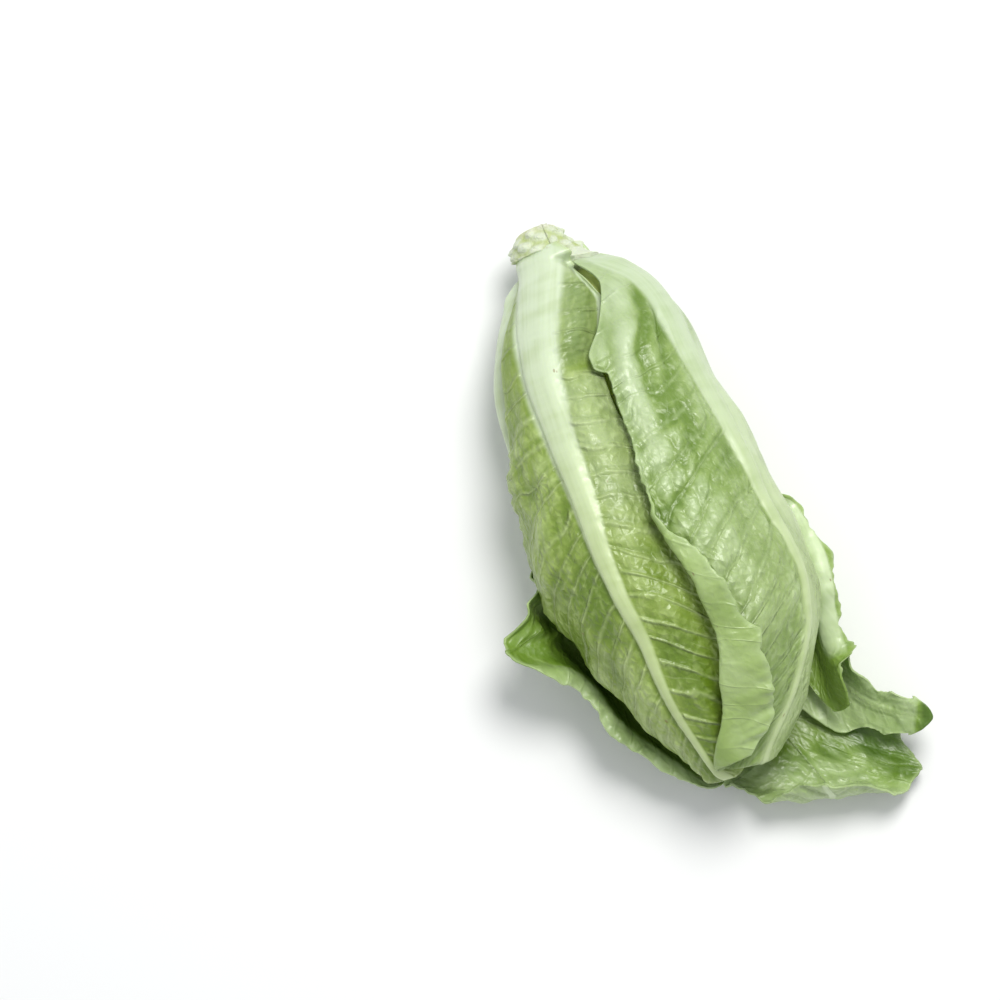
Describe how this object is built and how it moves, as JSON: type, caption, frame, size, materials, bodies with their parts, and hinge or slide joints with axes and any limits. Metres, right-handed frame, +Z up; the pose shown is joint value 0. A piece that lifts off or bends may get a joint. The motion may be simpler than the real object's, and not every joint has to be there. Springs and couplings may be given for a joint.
{
  "type": "romaine heart",
  "caption": "Romaine heart cut at the butt and lying on its back, with wrapped ribbed leaves, one folded margin and loose outer tips.",
  "frame": {"origin": "centre of the box's underside, on the surface the head lies on", "axes": "+Z up, +Y towards the cut butt, -Y towards the leaf tips, +X to the right seen from above with the butt at the top"},
  "size_m": [0.1448, 0.2484, 0.0863],
  "materials": {
    "stem": "moist pale cut stem with brown scars",
    "outer_leaf": "waxy veined leaf, pale rib",
    "inner_leaf": "thin yellow-green leaf, pale rib",
    "heart_bud": "tender pale yellow leaves"
  },
  "bodies": {
    "root": {"stem": "stem", "leaf_front_left": "outer_leaf", "leaf_front_right": "outer_leaf", "leaf_left": "outer_leaf", "leaf_back_left": "outer_leaf", "leaf_right": "outer_leaf", "leaf_back_right": "outer_leaf", "leaf_under": "outer_leaf", "leaf_inner_1": "inner_leaf", "leaf_inner_2": "inner_leaf", "leaf_inner_3": "inner_leaf", "leaf_inner_4": "inner_leaf", "heart_bud": "heart_bud"}
  },
  "joints": []
}
